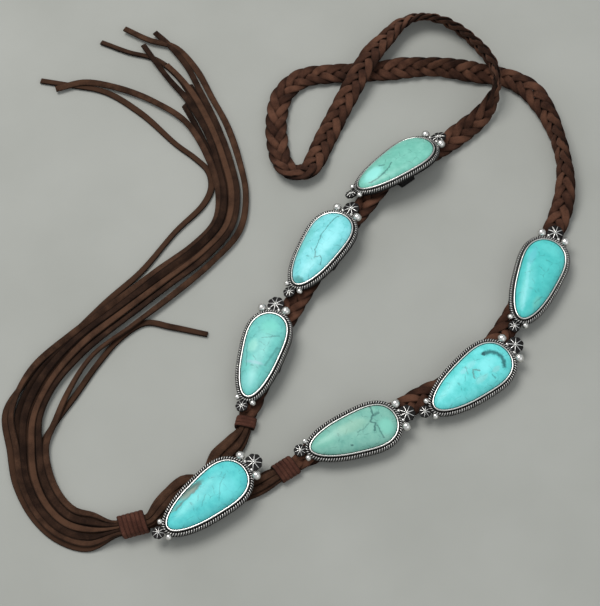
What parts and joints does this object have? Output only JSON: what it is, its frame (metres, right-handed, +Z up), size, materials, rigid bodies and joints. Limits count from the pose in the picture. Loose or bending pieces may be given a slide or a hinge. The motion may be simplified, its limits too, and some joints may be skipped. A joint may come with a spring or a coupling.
{
  "type": "suede lace necklace",
  "caption": "Plaited suede lace neck loop lying on a surface, carrying silver conchos set with teardrop turquoise stones, joined under one concho into a wrapped fringe.",
  "frame": {"origin": "centre of the bounding box's bottom face, on the surface that the necklace lies on", "axes": "+Z up out of the surface, +Y away from the viewer towards the top of the neck loop, +X to the viewer's right"},
  "size_m": [0.2654, 0.2784, 0.0156],
  "materials": {
    "suede": "matte napped dark brown suede",
    "wrap_suede": "matte napped reddish brown suede",
    "silver": "oxidised silver, bright on the high points and dark in the recesses",
    "turquoise": "polished turquoise with dark matrix veins"
  },
  "bodies": {
    "root": {"lace_1": "suede", "lace_2": "suede", "lace_3": "suede", "lace_4": "suede", "lace_5": "suede", "setting_1": "silver", "stone_1": "turquoise", "setting_2": "silver", "stone_2": "turquoise", "setting_3": "silver", "stone_3": "turquoise", "setting_4": "silver", "stone_4": "turquoise", "setting_5": "silver", "stone_5": "turquoise", "setting_6": "silver", "stone_6": "turquoise", "setting_7": "silver", "stone_7": "turquoise", "left_wrap": "wrap_suede", "right_wrap": "wrap_suede", "fringe_wrap": "wrap_suede", "left_bundle": "suede", "right_bundle": "suede", "fringe": "suede"}
  },
  "joints": []
}
